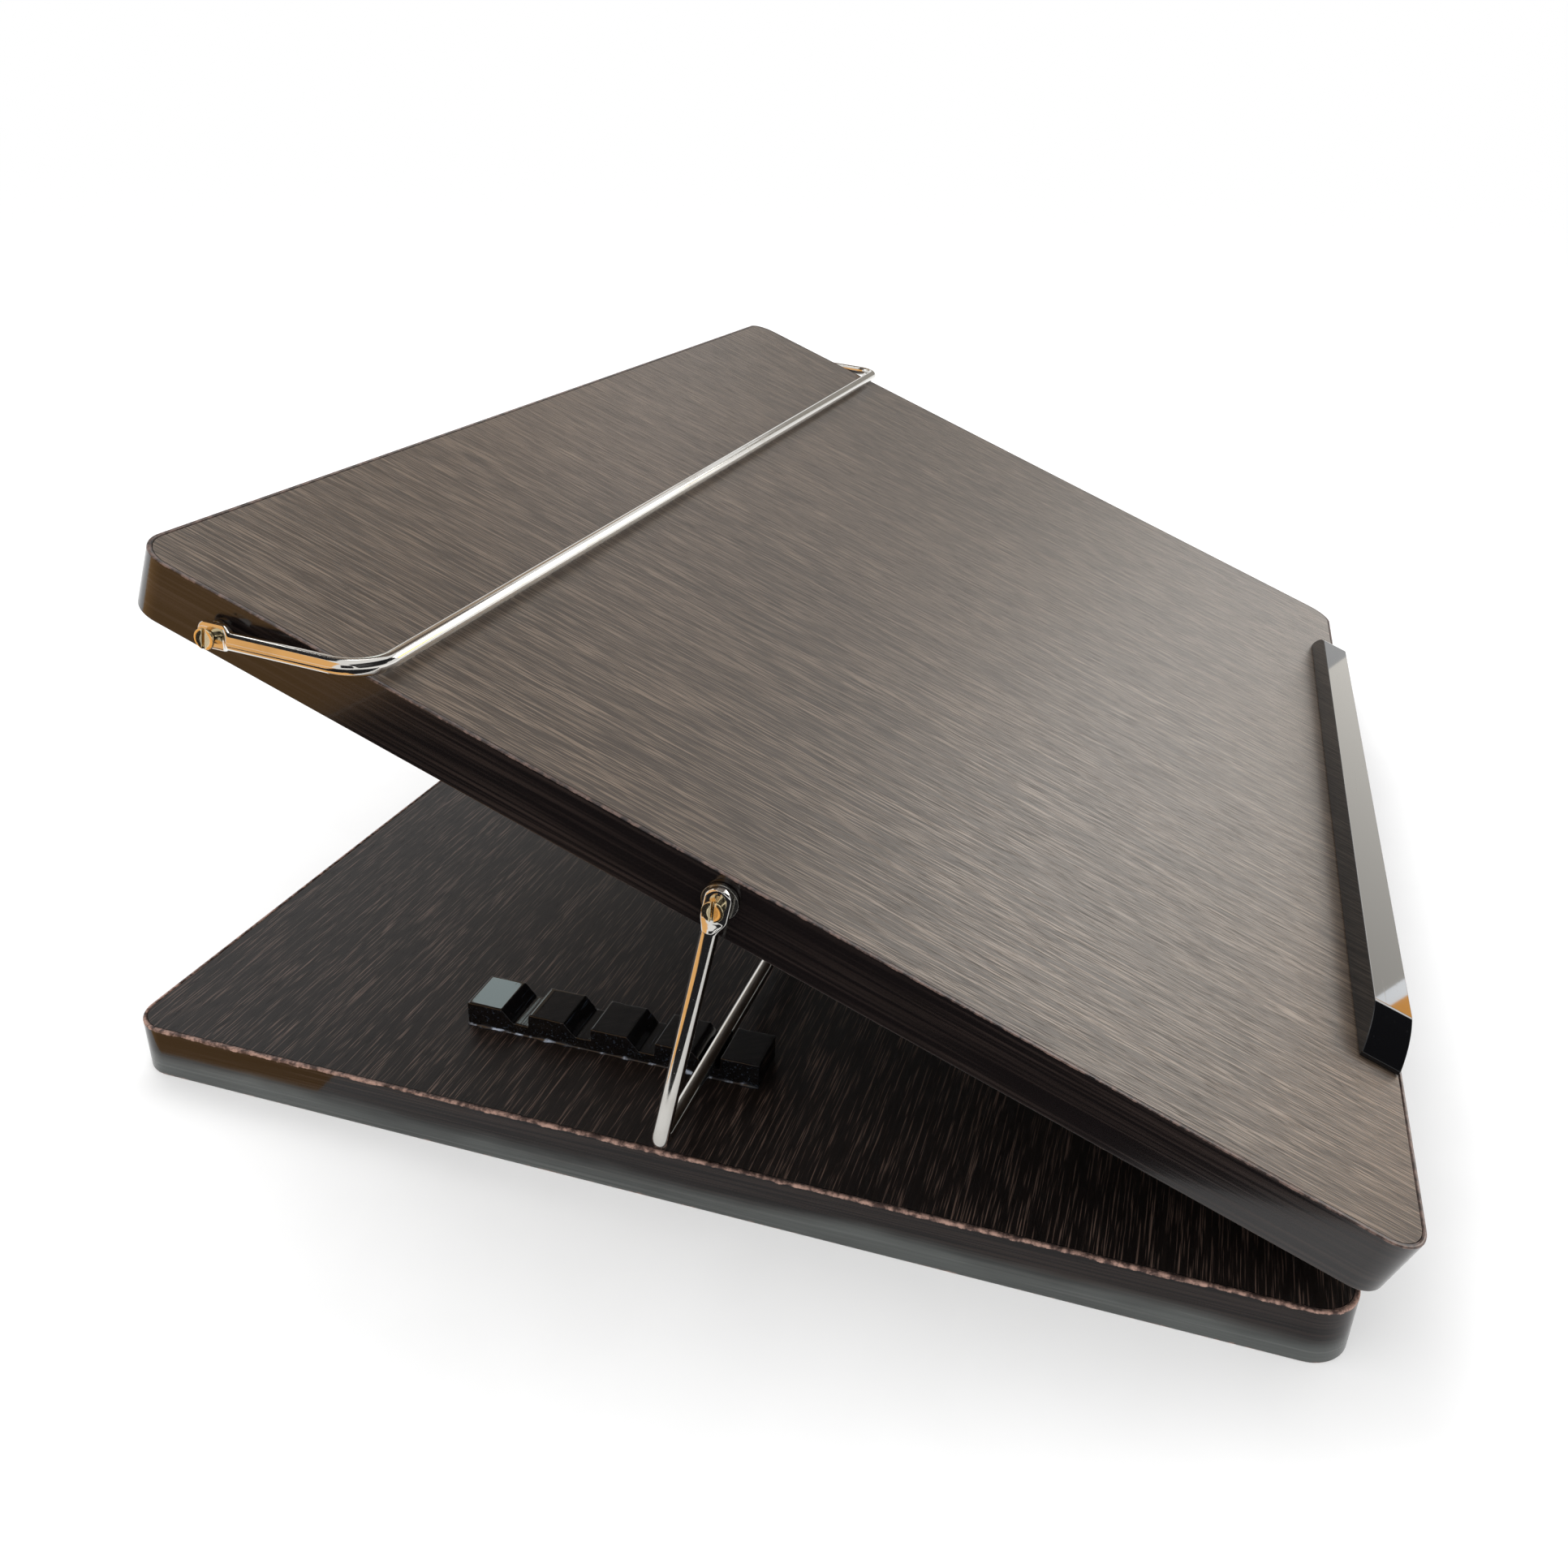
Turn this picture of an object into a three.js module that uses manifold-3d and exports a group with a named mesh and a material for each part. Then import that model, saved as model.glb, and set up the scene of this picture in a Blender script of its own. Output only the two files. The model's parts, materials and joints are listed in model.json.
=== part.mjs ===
// Laptop stand: a base panel and a hinged tilting board, both laminated on a wood core.
// A bent-wire leg on the board's sides stands in one notch of two racks on the base.
// A second bent wire on the board's sides lies over the board as a page holder.
// Millimetres, +Z up, +X to the user's right, +Y away from the user.
// The origin is the centre of the base's underside.
import * as THREE from "three";
import { mergeVertices } from "three/addons/utils/BufferGeometryUtils.js";
import Module from "manifold-3d";

const wasm = await Module();
wasm.setup();

// ---------- driving dimensions ----------

const glueLine = 0.2; // left between two pieces that are glued face to face
const fitGap = 0.3; // left between two pieces that turn, slide or screw together
const jointLap = 0.2; // by which two lengths of one wire run into each other where they join

// Both panels are cut alike.
const panel = {
  width: 525, // X
  depth: 380, // front to back
  thickness: 18,
  cornerRadius: 12,
  laminate: 0.8,
  band: 1.3, // edge band, wrapped once round the panel
};

// The board turns about an axis above the base's front edge.
const hinge = {
  tilt: 21.8, // degrees, with the leg in its notch
  closedGap: 8, // between the panels when the board lies flat
  overhang: 3, // of the board past the base's front edge when it lies flat
  length: 60,
  fromCentre: 170, // of each hinge, along X
  leafWidth: 24,
  leaf: 1.5,
  knuckleClear: 0.6, // of a knuckle from both panels when the board lies flat
  pinRadius: 1.4,
  pinHeadRadius: 2.3,
  pinHead: 0.8,
  pinHeadTip: 1.6, // radius of the head's outer end
  screwsPerLeaf: 3,
  screwSpacing: 20,
  screwFromEdge: 7, // from the leaf's free edge
};

const leafScrew = { headRadius: 2.8, head: 1.2, shankRadius: 1.2, length: 11, slot: 0.7, slotDepth: 0.6 };

// Five teeth that face the front with a slope and the back with a steep wall.
const rack = {
  height: 8,
  width: 17,
  fromEdge: 37, // from the base's side to the rack's outer face
  fromFront: 174, // from the base's front to the first tooth
  teeth: 5,
  toothTop: 12.6,
  play: 0.2, // by which a notch's floor is wider than the crossbar
  notchFloor: 3.5, // height of the notch's floor above the rack's underside
  steepRun: 0.3, // of a tooth's back wall
  slopeRun: 4, // of a tooth's front wall
  usedNotch: 0, // counted from the front
};

const wire = {
  radius: 2.5,
  clearOfEdge: 2, // between the panel's side and the wire, taken up by the washer
  eyeThickness: 2.6, // of the pressed end, which stays flush with the wire's inner side
};

const leg = {
  pivotUp: 195.2, // from the board's front edge
  pivotBelow: 7.2, // the board's face
  bend: 5,
  eyePast: 5.2, // of the pressed end past the screw's axis
  eyeCorner: 3.2,
  washerRadius: 5.2,
  slotTurn: 17, // degrees
};

const holder = {
  pivotFromBack: 32, // of the board
  pivotBelow: 9.8,
  barAhead: 45.7, // of the pivot, along the board
  lift: 1.8, // of the crossbar off the board, which keeps the bends clear of its edge
  bend: 11,
  eyePast: 3.6,
  eyeCorner: 1.6,
  washerRadius: 3.4,
  slotTurn: 11,
};

const pivotScrew = {
  headRadius: 3,
  rim: 0.7,
  cone: 1.8,
  shankRadius: 1.5,
  grip: 18, // of the shank in the board
  slot: 0.9,
  slotDepth: 0.9,
};

// A bar on the board's face, along its front edge, with its ends rounded down to a low foot.
const lip = {
  height: 10,
  depth: 12.5,
  fromFront: 1.7,
  endInset: 75.5, // from the board's side to the foot of the lip's end
  endRun: 18, // from the foot to where the level top starts
  endFoot: 1.5, // height of the upright foot
  endBulge: 1.5, // of the rounded end past a straight slope
};

// ---------- derived places ----------

const halfWidth = panel.width / 2;
const halfDepth = panel.depth / 2;
const baseFront = -halfDepth;
const tilt = THREE.MathUtils.degToRad(hinge.tilt);
const axisHeight = panel.thickness + hinge.closedGap / 2;

// The board's own frame: X as the part, Y up the slope from its front edge, Z out of its face,
// with zero height on its underside.
const boardFrame = new THREE.Group();
const hingeFrame = new THREE.Group();
hingeFrame.position.set(0, baseFront, axisHeight);
hingeFrame.rotation.x = tilt;
boardFrame.position.set(0, -hinge.overhang, hinge.closedGap / 2);
hingeFrame.add(boardFrame);
hingeFrame.updateMatrixWorld(true);

const knuckleRadius = hinge.closedGap / 2 - hinge.knuckleClear;

const eyeInner = halfWidth + wire.clearOfEdge;
const eyeOuter = eyeInner + wire.eyeThickness;
const armPlane = eyeInner + wire.radius;
// Pressing keeps the wire's section.
const eyeWidth = Math.PI * wire.radius ** 2 / wire.eyeThickness;

// Pivots in the board's frame.
const legPivot = new THREE.Vector3(0, leg.pivotUp, panel.thickness - leg.pivotBelow);
const holderPivot = new THREE.Vector3(
  0,
  panel.depth - holder.pivotFromBack,
  panel.thickness - holder.pivotBelow,
);

// Where the leg's crossbar lies in its notch: on the floor, midway between steep wall and slope.
const notchTop = rack.steepRun + 2 * wire.radius + rack.play + rack.slopeRun;
const pitch = rack.toothTop + notchTop;
const notchFront = baseFront + rack.fromFront + rack.toothTop + rack.usedNotch * pitch;
const barHeight = panel.thickness + glueLine + rack.notchFloor + fitGap + wire.radius;
const slope = Math.atan2(rack.height - rack.notchFloor, rack.slopeRun);
const nearestToSteep = notchFront + rack.steepRun + fitGap + wire.radius;
const slopeFoot = notchFront + notchTop - rack.slopeRun;
const nearestToSlope = slopeFoot
  + (wire.radius + fitGap) * (Math.cos(slope) - 1) / Math.sin(slope);
const barPlace = new THREE.Vector3(0, (nearestToSteep + nearestToSlope) / 2, barHeight);

// ---------- shapes to solids and back ----------

function solidOf(geometry) {
  const bare = geometry.clone();
  bare.deleteAttribute("normal");
  bare.deleteAttribute("uv");
  const merged = mergeVertices(bare, 1e-4);
  return new wasm.Manifold(new wasm.Mesh({
    numProp: 3,
    vertProperties: merged.getAttribute("position").array,
    triVerts: new Uint32Array(merged.index.array),
  }));
}

function geometryOf(solid) {
  const mesh = solid.getMesh();
  const geometry = new THREE.BufferGeometry();
  geometry.setAttribute("position", new THREE.BufferAttribute(mesh.vertProperties, 3));
  geometry.setIndex(new THREE.BufferAttribute(mesh.triVerts, 1));
  const flat = geometry.toNonIndexed();
  flat.computeVertexNormals();
  return flat;
}

function join(...geometries) {
  return geometryOf(geometries.map(solidOf).reduce((whole, piece) => whole.add(piece)));
}

function cut(geometry, ...tools) {
  return geometryOf(tools.map(solidOf).reduce((whole, tool) => whole.subtract(tool), solidOf(geometry)));
}

// ---------- common shapes ----------

function roundedRectangle(width, depth, radius) {
  const x = width / 2;
  const y = depth / 2;
  const shape = new THREE.Shape();
  shape.absarc(x - radius, y - radius, radius, 0, Math.PI / 2);
  shape.absarc(radius - x, y - radius, radius, Math.PI / 2, Math.PI);
  shape.absarc(radius - x, radius - y, radius, Math.PI, Math.PI * 1.5);
  shape.absarc(x - radius, radius - y, radius, Math.PI * 1.5, Math.PI * 2);
  return shape;
}

function extrudeUp(shape, from, to, curveSegments = 8) {
  const geometry = new THREE.ExtrudeGeometry(shape, { depth: to - from, bevelEnabled: false, curveSegments });
  return geometry.translate(0, 0, from);
}

function box(low, high) {
  const size = [0, 1, 2].map((i) => high[i] - low[i]);
  const geometry = new THREE.BoxGeometry(...size);
  return geometry.translate(...[0, 1, 2].map((i) => (high[i] + low[i]) / 2));
}

// A round bar along X.
function barAlongX(radius, from, to) {
  const geometry = new THREE.CylinderGeometry(radius, radius, to - from, 24);
  return geometry.rotateZ(-Math.PI / 2).translate((from + to) / 2, 0, 0);
}

// A shape turned about +Z from (radius, height) pairs that run up the outside.
function turned(profile, facets = 24) {
  const points = profile.map(([radius, height]) => new THREE.Vector2(radius, height));
  return new THREE.LatheGeometry(points, facets).rotateX(Math.PI / 2);
}

// ---------- panels ----------

// A panel lies with its underside at zero height and its middle at the origin.
// Holes are bores to cut from every layer that they pass.
function panelPieces(name, looks, bores) {
  const { width, depth, thickness, cornerRadius, laminate, band } = panel;
  const inset = band + glueLine;
  const outline = roundedRectangle(width, depth, cornerRadius);
  const inner = roundedRectangle(width - 2 * inset, depth - 2 * inset, cornerRadius - inset);
  const ring = roundedRectangle(width - 2 * band, depth - 2 * band, cornerRadius - band);
  const bandShape = outline.clone();
  bandShape.holes.push(ring);
  const layers = {
    core: [inner, laminate + glueLine, thickness - laminate - glueLine],
    top_laminate: [inner, thickness - laminate, thickness],
    bottom_laminate: [inner, 0, laminate],
    edge_band: [bandShape, 0, thickness],
  };
  return Object.entries(layers).map(([layer, [shape, from, to]]) => {
    const geometry = cut(extrudeUp(shape, from, to), ...bores);
    return named(name + "_" + layer, geometry, looks[layer]);
  });
}

function named(name, geometry, material) {
  const mesh = new THREE.Mesh(geometry, material);
  mesh.name = name;
  return mesh;
}

// ---------- materials ----------

function paint(color, roughness, metalness) {
  return new THREE.MeshStandardMaterial({ color, roughness, metalness });
}

const wengeTop = paint(0x5d544d, 0.45, 0);
const wengeDark = paint(0x2e2523, 0.5, 0);
const bandGloss = paint(0x241a17, 0.15, 0);
const coreWood = paint(0x9b7b57, 0.8, 0);
const blackAcrylic = paint(0x0b0b0d, 0.06, 0);
const chrome = paint(0xd8d8d6, 0.12, 1);
const brassScrew = paint(0xb9a06c, 0.3, 1);
const hingeSteel = paint(0xa8a49c, 0.35, 1);

const boardLooks = {
  core: coreWood, top_laminate: wengeTop, bottom_laminate: wengeDark, edge_band: bandGloss,
};
const baseLooks = { ...boardLooks, top_laminate: wengeDark };

// ---------- hinges ----------

const knuckleCount = 3;
const knuckleLength = (hinge.length - (knuckleCount - 1) * fitGap) / knuckleCount;

// The span of one knuckle along X, from the hinge's middle.
function knuckleSpan(index) {
  const start = -hinge.length / 2 + index * (knuckleLength + fitGap);
  return [start, start + knuckleLength];
}

function leafScrewPlaces() {
  const middle = (hinge.screwsPerLeaf - 1) / 2;
  const y = hinge.leafWidth - hinge.screwFromEdge;
  return Array.from({ length: hinge.screwsPerLeaf }, (_, i) => [(i - middle) * hinge.screwSpacing, y]);
}

// A leaf with the axis at the origin. Its plate lies under the axis, against the panel below.
function leafGeometry(ownKnuckles) {
  const half = hinge.length / 2;
  const low = glueLine - hinge.closedGap / 2;
  const high = low + hinge.leaf;
  let leaf = box([-half, 0, low], [half, hinge.leafWidth, high]);
  const reach = knuckleRadius + fitGap;
  for (let i = 0; i < knuckleCount; i += 1) {
    const [from, to] = knuckleSpan(i);
    if (ownKnuckles.includes(i)) {
      leaf = join(leaf, barAlongX(knuckleRadius, from, to));
    } else {
      leaf = cut(leaf, box([from - fitGap, -reach, low - 1], [to + fitGap, reach, reach]));
    }
  }
  const bore = barAlongX(hinge.pinRadius + fitGap, -half - 1, half + 1);
  const { headRadius, shankRadius, head } = leafScrew;
  const countersink = turned([
    [0, low - 1],
    [shankRadius + fitGap, low - 1],
    [shankRadius + fitGap, high - head],
    [headRadius + fitGap, high],
    [headRadius + fitGap, high + 1],
    [0, high + 1],
  ]);
  const sinks = leafScrewPlaces().map(([x, y]) => countersink.clone().translate(x, y, 0));
  return cut(leaf, bore, ...sinks);
}

// A slotted countersunk screw that points down, its head flush with the leaf's upper face.
function leafScrewGeometry() {
  const { headRadius, shankRadius, head, length, slot, slotDepth } = leafScrew;
  const top = glueLine - hinge.closedGap / 2 + hinge.leaf;
  const screw = turned([
    [0, top - length],
    [shankRadius, top - length + 2 * shankRadius],
    [shankRadius, top - head],
    [headRadius, top],
    [0, top],
  ], 16);
  const half = slot / 2;
  return cut(screw, box([-headRadius - 1, -half, top - slotDepth], [headRadius + 1, half, top + 1]));
}

function hingePinGeometry() {
  const { pinRadius, pinHeadRadius, pinHead, pinHeadTip } = hinge;
  const half = hinge.length / 2;
  const pin = turned([
    [0, -half - fitGap - pinHead],
    [pinHeadTip, -half - fitGap - pinHead],
    [pinHeadRadius, -half - fitGap],
    [pinRadius, -half - fitGap],
    [pinRadius, half + fitGap],
    [pinHeadRadius, half + fitGap],
    [pinHeadTip, half + fitGap + pinHead],
    [0, half + fitGap + pinHead],
  ], 16);
  return pin.rotateY(Math.PI / 2);
}

const leafScrewBore = turned([
  [0, -leafScrew.length - 1],
  [leafScrew.shankRadius + fitGap, -leafScrew.length - 1],
  [leafScrew.shankRadius + fitGap, 1],
  [0, 1],
]);

// Bores for the leaf screws, in a frame whose Y starts at the hinge axis and whose zero height
// is the panel's face.
function leafScrewBores() {
  return [-1, 1].flatMap((side) => leafScrewPlaces().map(([x, y]) => (
    leafScrewBore.clone().translate(side * hinge.fromCentre + x, y, 0)
  )));
}

// ---------- racks ----------

function rackGeometry() {
  const outline = new THREE.Shape();
  outline.moveTo(0, 0);
  outline.lineTo(0, rack.height);
  for (let i = 0; i < rack.teeth; i += 1) {
    const toothBack = i * pitch + rack.toothTop;
    outline.lineTo(toothBack, rack.height);
    if (i < rack.teeth - 1) {
      outline.lineTo(toothBack + rack.steepRun, rack.notchFloor);
      outline.lineTo(toothBack + notchTop - rack.slopeRun, rack.notchFloor);
      outline.lineTo(toothBack + notchTop, rack.height);
    }
  }
  outline.lineTo((rack.teeth - 1) * pitch + rack.toothTop, 0);
  // The outline's first axis becomes Y and its second Z, and the extrusion runs along X.
  const bar = extrudeUp(outline, -rack.width / 2, rack.width / 2);
  return bar.rotateX(Math.PI / 2).rotateZ(Math.PI / 2);
}

// ---------- bent wires ----------

// A quarter circle in the XY plane, about the origin, from +X round to +Y.
class QuarterTurn extends THREE.Curve {
  constructor(radius) {
    super();
    this.radius = radius;
  }

  getPoint(t, target = new THREE.Vector3()) {
    const angle = t * Math.PI / 2;
    return target.set(this.radius * Math.cos(angle), this.radius * Math.sin(angle), 0);
  }
}

function wireBend(radius) {
  const circle = new THREE.Shape().absarc(0, 0, wire.radius, 0, Math.PI * 2);
  const extrudePath = new QuarterTurn(radius);
  return new THREE.ExtrudeGeometry(circle, { steps: 8, curveSegments: 6, extrudePath });
}

// A wire loop whose eyes turn on the X axis. Its arms run along +Y to a crossbar along X.
function wireLoop(reach, { bend, eyePast, eyeCorner }) {
  const straight = reach - bend;
  const corner = armPlane - bend;
  const armStart = eyeWidth / 2;
  const armEnd = straight + jointLap;
  const armRod = wireRod(armEnd - armStart).translate(0, (armEnd + armStart) / 2, 0);
  const elbow = wireBend(bend);
  return join(
    wireRod(2 * (corner + jointLap)).rotateZ(Math.PI / 2).translate(0, reach, 0),
    elbow.clone().translate(corner, straight, 0),
    elbow.clone().rotateZ(Math.PI / 2).translate(-corner, straight, 0),
    armRod.clone().translate(-armPlane, 0, 0),
    armRod.clone().translate(armPlane, 0, 0),
    eyeGeometry(eyePast, eyeCorner).translate(-eyeInner, 0, 0),
    eyeGeometry(eyePast, eyeCorner).translate(eyeOuter, 0, 0),
  );
}

// A straight length of wire along Y.
function wireRod(length) {
  return new THREE.CylinderGeometry(wire.radius, wire.radius, length, 12);
}

// The wire's end, pressed flat across X and pierced for the screw. It narrows to the wire.
function eyeGeometry(past, corner) {
  const half = eyeWidth / 2;
  const shape = new THREE.Shape();
  shape.moveTo(wire.radius, eyeWidth);
  shape.lineTo(-wire.radius, eyeWidth);
  shape.lineTo(-half, half);
  shape.lineTo(-half, corner - past);
  shape.absarc(corner - half, corner - past, corner, Math.PI, Math.PI * 1.5);
  shape.absarc(half - corner, corner - past, corner, Math.PI * 1.5, Math.PI * 2);
  shape.lineTo(half, half);
  const hole = new THREE.Path().absarc(0, 0, pivotScrew.shankRadius + fitGap, 0, Math.PI * 2);
  shape.holes.push(hole);
  // The outline's first axis becomes Z and the plate's thickness runs back along X.
  return extrudeUp(shape, 0, wire.eyeThickness).rotateY(-Math.PI / 2);
}

// ---------- pivots: a screw and a washer on each side of the board ----------

// The screw points to -Z. Zero height is the outer face of the wire's eye.
function pivotScrewGeometry() {
  const { headRadius, rim, cone, shankRadius, grip, slot, slotDepth } = pivotScrew;
  const stack = eyeOuter - halfWidth;
  const top = cone + rim;
  const screw = turned([
    [0, -stack - grip],
    [shankRadius, -stack - grip + 2 * shankRadius],
    [shankRadius, 0],
    [headRadius, cone],
    [headRadius, top],
    [0, top],
  ], 20);
  const half = slot / 2;
  return cut(screw, box([-headRadius - 1, -half, top - slotDepth], [headRadius + 1, half, top + 1]));
}

// The washer fills the space between the board's side and the eye.
function washerGeometry(outerRadius) {
  const thickness = wire.clearOfEdge - 2 * fitGap;
  const disc = new THREE.Shape().absarc(0, 0, outerRadius, 0, Math.PI * 2);
  disc.holes.push(new THREE.Path().absarc(0, 0, pivotScrew.shankRadius + fitGap, 0, Math.PI * 2));
  return extrudeUp(disc, -thickness / 2, thickness / 2, 12);
}

const bothSides = [["left", -1], ["right", 1]];

function pivotPieces(name, pivot, { washerRadius, slotTurn }) {
  return bothSides.flatMap(([sideName, side]) => {
    const facing = side * Math.PI / 2;
    const screw = named(name + "_screw_" + sideName, pivotScrewGeometry(), brassScrew);
    screw.geometry.rotateZ(THREE.MathUtils.degToRad(slotTurn)).rotateY(facing);
    screw.position.set(side * eyeOuter, pivot.y, pivot.z);
    const washer = named(name + "_washer_" + sideName, washerGeometry(washerRadius), chrome);
    washer.geometry.rotateY(facing);
    washer.position.set(side * (halfWidth + eyeInner) / 2, pivot.y, pivot.z);
    return [screw, washer];
  });
}

// In a frame whose Y starts at the board's middle.
function pivotBores(pivot) {
  const depth = pivotScrew.grip + 1;
  const bore = barAlongX(pivotScrew.shankRadius + fitGap, halfWidth - depth, halfWidth + 1);
  return [bore, bore.clone().rotateZ(Math.PI)].map((one) => (
    one.translate(0, pivot.y - halfDepth, pivot.z)
  ));
}

// ---------- lip ----------

function lipGeometry() {
  const foot = halfWidth - lip.endInset;
  const shoulder = foot - lip.endRun;
  const rise = lip.height - lip.endFoot;
  const chord = Math.hypot(lip.endRun, rise);
  const radius = chord * chord / (8 * lip.endBulge) + lip.endBulge / 2;
  const chordAngle = Math.atan2(rise, lip.endRun);
  const halfAngle = Math.asin(chord / 2 / radius);
  const normal = Math.PI / 2 - chordAngle;
  const centreX = (foot + shoulder) / 2 - (radius - lip.endBulge) * Math.cos(normal);
  const centreZ = (lip.endFoot + lip.height) / 2 - (radius - lip.endBulge) * Math.sin(normal);
  const outline = new THREE.Shape();
  outline.moveTo(-foot, 0);
  outline.lineTo(foot, 0);
  outline.lineTo(foot, lip.endFoot);
  outline.absarc(centreX, centreZ, radius, normal - halfAngle, normal + halfAngle);
  outline.absarc(-centreX, centreZ, radius, Math.PI - normal - halfAngle, Math.PI - normal + halfAngle);
  outline.lineTo(-foot, lip.endFoot);
  // The outline's second axis becomes Z and the extrusion runs back along -Y.
  return extrudeUp(outline, 0, lip.depth, 10).rotateX(Math.PI / 2).translate(0, lip.depth, 0);
}

// ---------- assembly ----------

const stand = new THREE.Group();
stand.add(hingeFrame);

// Base
const baseBores = leafScrewBores().map((bore) => bore.translate(0, baseFront, panel.thickness));
stand.add(...panelPieces("base", baseLooks, baseBores));

for (const [sideName, side] of bothSides) {
  const bar = named("rack_" + sideName, rackGeometry(), blackAcrylic);
  const x = side * (halfWidth - rack.fromEdge - rack.width / 2);
  bar.position.set(x, baseFront + rack.fromFront, panel.thickness + glueLine);
  stand.add(bar);
}

// Board. Its panel is drawn about its middle, so it moves up the slope by half its depth.
const underside = leafScrewBores().map((bore) => (
  bore.rotateY(Math.PI).translate(0, hinge.overhang - halfDepth, 0)
));
const boardBores = [
  ...underside,
  ...pivotBores(legPivot),
  ...pivotBores(holderPivot),
];
for (const piece of panelPieces("board", boardLooks, boardBores)) {
  piece.position.y = halfDepth;
  boardFrame.add(piece);
}

const frontLip = named("front_lip", lipGeometry(), blackAcrylic);
frontLip.position.set(0, lip.fromFront, panel.thickness + glueLine);
boardFrame.add(frontLip);

// Hinges. The board's leaf is the base's leaf turned over about the Y axis.
for (const [sideName, side] of bothSides) {
  const leaves = [
    ["base", stand, [0, 2], baseFront, axisHeight, 1],
    ["board", hingeFrame, [1], 0, 0, -1],
  ];
  for (const [panelName, parent, knuckles, y, z, up] of leaves) {
    const flip = (geometry) => (up > 0 ? geometry : geometry.rotateY(Math.PI));
    const place = (mesh, x, forward) => {
      mesh.position.set(side * hinge.fromCentre + x, y + forward, z);
      parent.add(mesh);
    };
    const label = "hinge_" + sideName + "_" + panelName;
    place(named(label + "_leaf", flip(leafGeometry(knuckles)), hingeSteel), 0, 0);
    leafScrewPlaces().forEach(([screwX, screwY], i) => {
      const screw = flip(leafScrewGeometry());
      place(named(label + "_screw_" + (i + 1), screw, hingeSteel), screwX, screwY);
    });
  }
  const pin = named("hinge_" + sideName + "_pin", hingePinGeometry(), hingeSteel);
  pin.position.set(side * hinge.fromCentre, baseFront, axisHeight);
  stand.add(pin);
}

// Leg: from its pivots to the notch.
const legReach = boardFrame.worldToLocal(barPlace.clone()).sub(legPivot);
const legWire = named("leg_wire", wireLoop(legReach.length(), leg), chrome);
legWire.position.copy(legPivot);
legWire.rotation.x = Math.atan2(legReach.z, legReach.y);
boardFrame.add(legWire, ...pivotPieces("leg", legPivot, leg));

// Page holder: from its pivots to a crossbar that lies on the board's face.
const holderReach = new THREE.Vector3(0, -holder.barAhead, holder.pivotBelow + holder.lift + wire.radius);
const holderWire = named("page_holder_wire", wireLoop(holderReach.length(), holder), chrome);
holderWire.position.copy(holderPivot);
holderWire.rotation.x = Math.atan2(holderReach.z, holderReach.y);
boardFrame.add(holderWire, ...pivotPieces("page_holder", holderPivot, holder));

export default stand;
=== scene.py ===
# %% [markdown]
# # A laptop stand with two laminated panels, a wire leg and a wire page holder
#
# The stand is two boards of the same size, joined by hinges at the front. A bent wire props
# the upper board at an angle, with its crossbar in a notch of each of two racks, and another
# bent wire lies over the board to hold a page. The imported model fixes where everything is.
# This lesson gives each piece its finished shape and its finish.

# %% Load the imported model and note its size
import json
import math

import bmesh
import bpy
from mathutils import Matrix, Vector, noise

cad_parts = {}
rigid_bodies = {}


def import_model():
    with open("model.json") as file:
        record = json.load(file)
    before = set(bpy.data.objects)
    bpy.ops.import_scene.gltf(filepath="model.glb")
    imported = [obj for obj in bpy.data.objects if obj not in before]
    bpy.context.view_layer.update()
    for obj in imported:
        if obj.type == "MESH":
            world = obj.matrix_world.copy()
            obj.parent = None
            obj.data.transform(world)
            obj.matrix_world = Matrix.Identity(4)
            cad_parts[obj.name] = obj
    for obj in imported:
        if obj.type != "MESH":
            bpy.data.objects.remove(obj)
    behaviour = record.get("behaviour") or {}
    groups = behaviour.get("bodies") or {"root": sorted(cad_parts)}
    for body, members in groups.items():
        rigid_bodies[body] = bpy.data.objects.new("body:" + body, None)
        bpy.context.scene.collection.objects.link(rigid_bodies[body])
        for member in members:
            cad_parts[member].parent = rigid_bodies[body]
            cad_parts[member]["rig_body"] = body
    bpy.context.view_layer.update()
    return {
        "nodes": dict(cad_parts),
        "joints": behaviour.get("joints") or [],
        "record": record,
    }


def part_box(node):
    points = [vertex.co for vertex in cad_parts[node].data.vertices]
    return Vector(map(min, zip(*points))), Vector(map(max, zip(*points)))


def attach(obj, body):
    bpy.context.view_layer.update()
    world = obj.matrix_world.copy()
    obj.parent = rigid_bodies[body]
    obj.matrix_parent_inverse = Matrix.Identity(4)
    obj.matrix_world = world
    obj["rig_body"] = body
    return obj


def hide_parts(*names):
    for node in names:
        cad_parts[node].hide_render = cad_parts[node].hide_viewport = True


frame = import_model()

MM = 0.001

# %% [markdown]
# ## The places that everything is measured from
#
# The upper board is tilted, so most of its pieces are easier to draw in the board's own
# frame: X across, Y up the slope from the front edge, Z out of its face, with zero height
# on its underside. The hinge joint gives the axis, and the lip's mount gives the tilt.

# %% The board's frame, worked out from the record
base_low, base_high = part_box("base_edge_band")
WIDTH = base_high.x - base_low.x
DEPTH = base_high.y - base_low.y
THICKNESS = base_high.z - base_low.z
CORNER = 12 * MM
BAND = 1.3 * MM
OVERHANG = 3 * MM

joints = {joint["name"]: joint for joint in frame["joints"]}
mounts = {mount["name"]: mount for mount in frame["record"]["mounts"]}
hinge_axis = Vector(joints["board_tilt"]["pos_m"])
lip_normal = mounts["lip_face"]["axis"]
TILT = math.atan2(lip_normal[2], lip_normal[1])
half_gap = hinge_axis.z - THICKNESS

hinge_frame = Matrix.Translation(hinge_axis) @ Matrix.Rotation(TILT, 4, "X")
board_frame = hinge_frame @ Matrix.Translation((0, -OVERHANG, half_gap))
flat_frame = Matrix.Identity(4)
print("tilt, degrees:", round(math.degrees(TILT), 2))


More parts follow.
